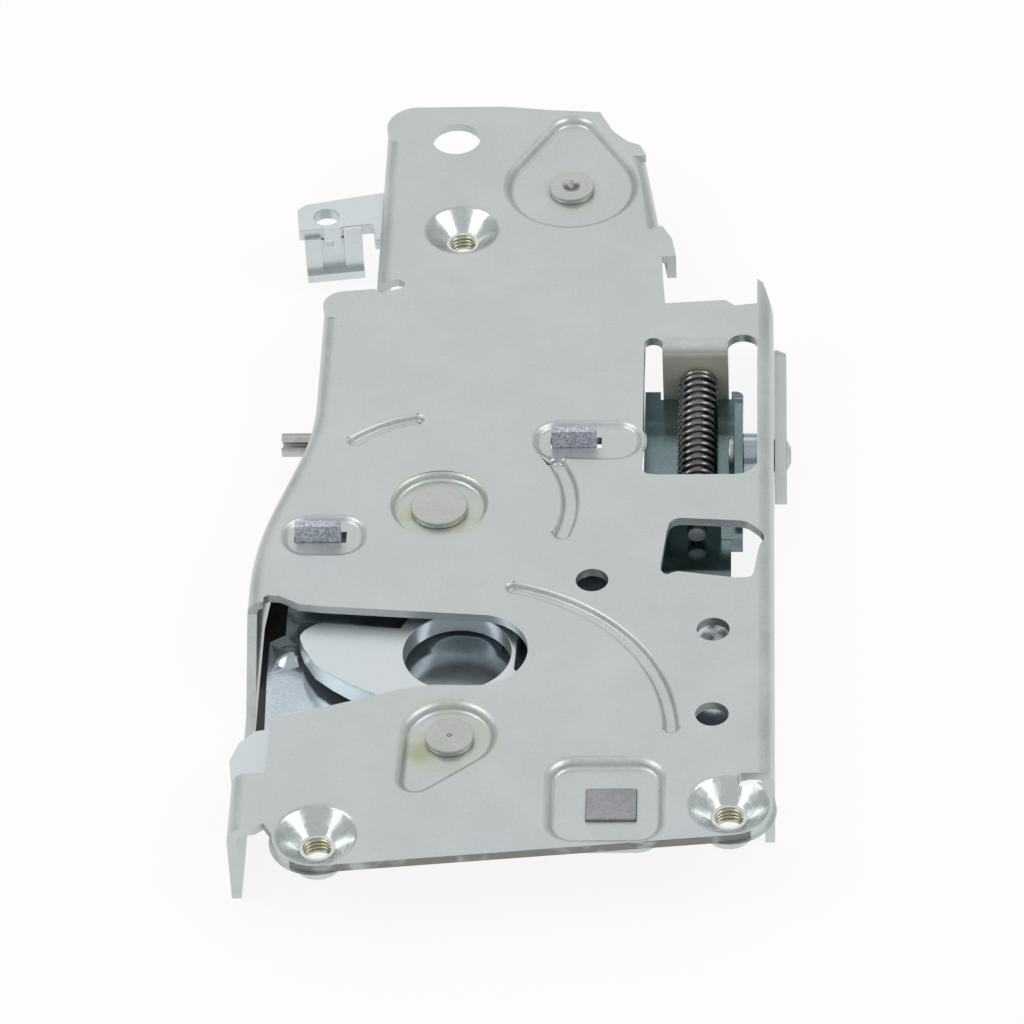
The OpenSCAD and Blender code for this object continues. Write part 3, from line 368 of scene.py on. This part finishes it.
def rim_width(edge):
    """Bevel width in millimetres where the case's sheet is pressed, and 0 at every other edge."""
    if len(edge.link_faces) != 2 or edge.calc_face_angle(0) < SHARP:
        return 0.0
    kinds = {face_kind(face) for face in edge.link_faces}
    if kinds not in ({"front", "slope"}, {"slope", "floor"}):
        return 0.0
    middle = (edge.verts[0].co + edge.verts[1].co) / 2 / MM
    for places, reach, rim, fillet in PRESSED:
        if min(math.hypot(middle.x - x, middle.y - y) for x, y in places) < reach:
            return rim if "front" in kinds else fillet
    for (x, y), radius in GROOVES:
        if abs(math.hypot(middle.x - x, middle.y - y) - radius) < GROOVE_REACH:
            return GROOVE_RIM if "front" in kinds else GROOVE_FILLET
    return 0.0


def flat_region(start):
    """The faces joined to one in its own plane, whichever way they look, in a fixed order."""
    region, queue = {start: True}, [start]
    while queue:
        for edge in queue.pop().edges:
            for face in edge.link_faces:
                if face not in region and abs(face.normal.dot(start.normal)) > IN_PLANE:
                    region[face] = True
                    queue.append(face)
    return region


def mend_folds(bm):
    """Fills again each flat face whose triangles fold back over one another."""
    for fold in list(bm.edges):
        if not fold.is_valid or len(fold.link_faces) != 2 or fold.calc_face_angle(0) < FOLD:
            continue
        region = flat_region(fold.link_faces[0])
        facing = sum((face.normal * face.calc_area() for face in region), Vector())
        edges = dict.fromkeys(edge for face in region for edge in face.edges)
        rim = [edge for edge in edges if sum(face in region for face in edge.link_faces) == 1]
        inner = set(edges).difference(rim)
        bmesh.ops.delete(bm, geom=list(region), context="FACES_ONLY")
        loose = [edge for edge in edges if edge in inner and edge.is_wire]
        bmesh.ops.delete(bm, geom=loose, context="EDGES")
        made = bmesh.ops.triangle_fill(bm, use_beauty=True, edges=rim, normal=facing.normalized())
        for face in made["geom"]:
            if isinstance(face, bmesh.types.BMFace):
                face.normal_update()
                if face.normal.dot(facing) < 0:
                    face.normal_flip()


def apply_modifier(piece, modifier):
    bpy.context.view_layer.objects.active = piece
    with bpy.context.temp_override(object=piece, active_object=piece, selected_objects=[piece]):
        bpy.ops.object.modifier_apply(modifier=modifier.name)


def apply_bevel(piece, width_mm, steps, angle=None):
    """Rounds the edges that bend more than an angle or, without one, each edge by its own weight."""
    bevel = piece.modifiers.new("edge", "BEVEL")
    bevel.width = width_mm * MM
    bevel.segments = steps
    bevel.face_strength_mode = "FSTR_ALL"
    if angle is None:
        bevel.limit_method = "WEIGHT"
        bevel.loop_slide = False
        bevel.use_clamp_overlap = False
    else:
        bevel.limit_method = "ANGLE"
        bevel.angle_limit = angle
    apply_modifier(piece, bevel)


def skin_mesh(node):
    """A cleaned copy of a node's mesh, with weights at the front plate's pressed rims.

    The back plate keeps its triangles, because merging them leaves a stray face there.
    """
    mesh = NODES[node].data.copy()
    mesh.name = node + "_skin"
    bm = bmesh.new()
    bm.from_mesh(mesh)
    bmesh.ops.remove_doubles(bm, verts=bm.verts, dist=MERGE)
    bmesh.ops.dissolve_degenerate(bm, edges=bm.edges, dist=MERGE)
    mend_folds(bm)
    if node == "front_plate":
        weight = bm.edges.layers.float.new("bevel_weight_edge")
        for edge in bm.edges:
            edge[weight] = rim_width(edge) / RIM_UNIT
    elif node != "back_plate":
        bmesh.ops.dissolve_limit(bm, angle_limit=FLAT_BEND, verts=bm.verts, edges=bm.edges)
    bm.to_mesh(mesh)
    bm.free()
    mesh.materials.clear()
    mesh.materials.append(STAKE if node == "stake_block" else MATERIALS[SLOT_OF[node]])
    if mesh.attributes.get("custom_normal"):
        mesh.attributes.remove(mesh.attributes["custom_normal"])
    return mesh


def add_skin(node, width_mm):
    """A copy of a CAD solid with its sharp edges rounded by a small bevel, which stands for the solid."""
    piece = bpy.data.objects.new(node + "_skin", skin_mesh(node))
    bpy.context.scene.collection.objects.link(piece)
    if node == "front_plate":
        apply_bevel(piece, RIM_UNIT, RIM_STEPS)
        piece.data.attributes.remove(piece.data.attributes["bevel_weight_edge"])
    apply_bevel(piece, width_mm, EDGE_STEPS, SHARP)
    piece.data.shade_smooth()
    piece.data.set_sharp_from_angle(angle=CREASE)
    normals = piece.modifiers.new("normals", "WEIGHTED_NORMAL")
    normals.use_face_influence = True
    normals.keep_sharp = True
    apply_modifier(piece, normals)
    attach(piece, BODY_OF[node])
    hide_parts(node)


# Every solid takes its slot's material, and is smooth where it has no skin
for name, part in NODES.items():
    part.data.materials.clear()
    part.data.materials.append(MATERIALS[SLOT_OF[name]])
    for polygon in part.data.polygons:
        polygon.use_smooth = True
    if name in SKINS:
        add_skin(name, SKINS[name])


# Pieces that only the scene has, or that stand for a plainer solid
def add_piece(name, points_mm, faces, body, material):
    """A smooth mesh that rides on a body."""
    mesh = bpy.data.meshes.new(name)
    mesh.from_pydata([Vector(p) * MM for p in points_mm], [], faces)
    mesh.materials.append(material)
    piece = bpy.data.objects.new(name, mesh)
    bpy.context.scene.collection.objects.link(piece)
    mesh.shade_smooth()
    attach(piece, body)
    return piece


STEEP = 0.9                              # a wire that rises more than this takes its side from X
TILTED_UP, ACROSS = Vector((0, 0.3, 1)), Vector((1, 0, 0))


def tube(name, path, radius, sides, body, material):
    """Round wire along a list of points in millimetres, closed at both ends."""
    points, faces = [], []
    path = [Vector(p) for p in path]
    last = len(path) - 1
    for i, centre in enumerate(path):
        along = (path[min(i + 1, last)] - path[max(i - 1, 0)]).normalized()
        side = along.cross(TILTED_UP if abs(along.z) < STEEP else ACROSS).normalized()
        other = along.cross(side)
        for j in range(sides):
            a = 2 * math.pi * j / sides
            points.append(centre + radius * (math.cos(a) * side + math.sin(a) * other))
    for i in range(last):
        for j in range(sides):
            k = (j + 1) % sides
            faces.append((i * sides + j, i * sides + k, (i + 1) * sides + k, (i + 1) * sides + j))
    faces.append(tuple(reversed(range(sides))))
    faces.append(tuple(last * sides + j for j in range(sides)))
    return add_piece(name, points, faces, body, material)


# Thread turns inside the three necks, from the seat down
THREAD_TOP, THREAD_LOW, PITCH, BORE_R = -3.7, -6.9, 0.8, 2.5
THREAD_R, THREAD_SIDES, TURN_STEPS = 0.27, 8, 32
HELIX_R = BORE_R - 0.1                   # the middle of the thread's wire, just inside the bore's wall

for number, (x, y) in enumerate(FIXINGS, 1):
    helix = []
    for i in range(int((THREAD_TOP - THREAD_LOW) / PITCH * TURN_STEPS) + 1):
        a = 2 * math.pi * i / TURN_STEPS
        helix.append((x + HELIX_R * math.cos(a), y + HELIX_R * math.sin(a),
                      THREAD_TOP - PITCH * i / TURN_STEPS))
    tube("thread_%d" % number, helix, THREAD_R, THREAD_SIDES, "case", THREAD)

# The coil spring, with the same turns as its solid and rounder wire
COIL_D, WIRE_D, COILS = 7.4, 1.1, 19
COIL_STEPS, WIRE_SIDES = 28, 12
COIL_R = (COIL_D - WIRE_D) / 2
END_RISE = 0.9 * WIRE_D                  # how far each closed end turn climbs
spring_low, spring_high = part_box("toggle_spring")
COIL_X, COIL_Z = ((spring_low[i] + spring_high[i]) / 2 / MM for i in (0, 2))
COIL_TOP, COIL_LENGTH = spring_high[1] / MM, (spring_high[1] - spring_low[1]) / MM


def coil_depth(t):
    """How far along the spring the wire's middle is after t turns, closed at both ends."""
    if t < 1:
        return WIRE_D / 2 + t * END_RISE
    if t > COILS + 1:
        return COIL_LENGTH - WIRE_D / 2 - (COILS + 2 - t) * END_RISE
    return WIRE_D / 2 + END_RISE + (t - 1) * (COIL_LENGTH - 2 * END_RISE - WIRE_D) / COILS


coil = []
for i in range((COILS + 2) * COIL_STEPS + 1):
    t = i / COIL_STEPS
    coil.append((COIL_X + COIL_R * math.cos(2 * math.pi * t), COIL_TOP - coil_depth(t),
                 COIL_Z + COIL_R * math.sin(2 * math.pi * t)))
spring = tube("coil_spring", coil, WIRE_D / 2, WIRE_SIDES, BODY_OF["toggle_spring"], SPRING)
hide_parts("toggle_spring")

# Black cover behind the back plate's left edge
COVER = ((-39.2, -27), (-25, -27), (-25, 26.5), (-38.4, 26.5), (-39.2, 18))
COVER_BACK, COVER_FRONT, COVER_EDGE = -13, -11.35, 0.3
COVER_SHARP, COVER_CREASE = math.radians(40), math.radians(50)
corners = len(COVER)
points = [(x, y, z) for z in (COVER_BACK, COVER_FRONT) for x, y in COVER]
faces = [tuple(reversed(range(corners))), tuple(range(corners, 2 * corners))]
for i in range(corners):
    following = (i + 1) % corners
    faces.append((i, following, corners + following, corners + i))
cover = add_piece("rear_cover", points, faces, "case", SLEEVE)
apply_bevel(cover, COVER_EDGE, EDGE_STEPS, COVER_SHARP)
cover.data.set_sharp_from_angle(angle=COVER_CREASE)


# Floor, light and camera
def area_light(name, place, size, power):
    """A rectangular lamp that looks at the plate's middle."""
    data = bpy.data.lights.new(name, "AREA")
    data.shape = "RECTANGLE"
    data.size, data.size_y = size
    data.energy = power
    lamp = bpy.data.objects.new(name, data)
    lamp.location = place
    lamp.rotation_mode = "QUATERNION"
    lamp.rotation_quaternion = (AIM - lamp.location).to_track_quat("-Z", "Y")
    bpy.context.scene.collection.objects.link(lamp)


def seen_rays(tree):
    """1 for camera, glossy and transmission rays, and 0 for the light that falls on things."""
    path = tree.nodes.new("ShaderNodeLightPath")
    total = path.outputs["Is Camera Ray"]
    for output in ("Is Glossy Ray", "Is Transmission Ray"):
        node = tree.nodes.new("ShaderNodeMath")
        node.operation = "MAXIMUM"
        tree.links.new(total, node.inputs[0])
        tree.links.new(path.outputs[output], node.inputs[1])
        total = node.outputs[0]
    return total


def make_floor():
    """A pale matt floor that is nearly white where it is seen, and keeps a faint shadow."""
    g = Graph("floor")
    g.bsdf.inputs["Base Color"].default_value = FLOOR_COLOUR
    g.bsdf.inputs["Roughness"].default_value = FLOOR_ROUGHNESS
    g.bsdf.inputs["Specular IOR Level"].default_value = FLOOR_SPECULAR
    glow = g.add("ShaderNodeEmission")
    glow.inputs["Color"].default_value = WHITE
    mix = g.add("ShaderNodeMixShader")
    g.link(g.math("MULTIPLY", seen_rays(g.tree), FLOOR_LIFT), mix.inputs["Fac"])
    g.link(g.bsdf.outputs["BSDF"], mix.inputs[1])
    g.link(glow.outputs["Emission"], mix.inputs[2])
    g.link(mix.outputs["Shader"], g.tree.nodes["Material Output"].inputs["Surface"])
    bpy.ops.mesh.primitive_plane_add(size=FLOOR_SIZE, location=(0, 0, FEET_Z - FLOOR_GAP))
    floor = bpy.context.object
    floor.name = "floor"
    floor.data.materials.append(g.material)


def make_world():
    """Plain white light, with a grey sky, paler towards its top, for the rays that see it."""
    world = bpy.data.worlds.new("studio")
    bpy.context.scene.world = world
    world.use_nodes = True
    tree = world.node_tree
    lit = tree.nodes["Background"]
    lit.inputs["Color"].default_value = WHITE
    lit.inputs["Strength"].default_value = WORLD_STRENGTH
    seen = tree.nodes.new("ShaderNodeBackground")
    seen.inputs["Strength"].default_value = 1.0
    place = tree.nodes.new("ShaderNodeTexCoord")
    split = tree.nodes.new("ShaderNodeSeparateXYZ")
    tree.links.new(place.outputs["Generated"], split.inputs["Vector"])
    height = tree.nodes.new("ShaderNodeMapRange")
    height.inputs["From Min"].default_value = 0.0
    height.inputs["From Max"].default_value = SKY_TOP
    height.inputs["To Min"].default_value = SKY_LOW
    height.inputs["To Max"].default_value = SKY_HIGH
    tree.links.new(split.outputs["Z"], height.inputs["Value"])
    tree.links.new(height.outputs["Result"], seen.inputs["Color"])
    mix = tree.nodes.new("ShaderNodeMixShader")
    tree.links.new(seen_rays(tree), mix.inputs["Fac"])
    tree.links.new(lit.outputs["Background"], mix.inputs[1])
    tree.links.new(seen.outputs["Background"], mix.inputs[2])
    tree.links.new(mix.outputs["Shader"], tree.nodes["World Output"].inputs["Surface"])


def make_camera():
    """A camera on the line from the plate's middle, turned a little about that line."""
    data = bpy.data.cameras.new("camera")
    data.lens, data.sensor_width = LENS, SENSOR
    data.clip_start, data.clip_end = CLIP_NEAR, CLIP_FAR
    camera = bpy.data.objects.new("camera", data)
    bpy.context.scene.collection.objects.link(camera)
    camera.rotation_mode = "QUATERNION"
    direction = TO_CAMERA.normalized()
    camera.location = AIM + direction * CAMERA_DISTANCE
    right = Vector((0, 0, 1)).cross(direction).normalized()
    up = direction.cross(right)
    turn = Matrix((right, up, direction)).transposed().to_quaternion()
    camera.rotation_quaternion = turn @ Matrix.Rotation(CAMERA_ROLL, 3, "Z").to_quaternion()
    bpy.context.scene.camera = camera


make_floor()
make_world()
make_camera()
area_light("key", KEY_PLACE, KEY_SIZE, KEY_POWER)
for way in (-1, 1):
    area_light("side", (way * SIDE_X, SIDE_Y, SIDE_Z), SIDE_SIZE, SIDE_POWER)
bpy.context.scene.view_settings.view_transform = "Standard"
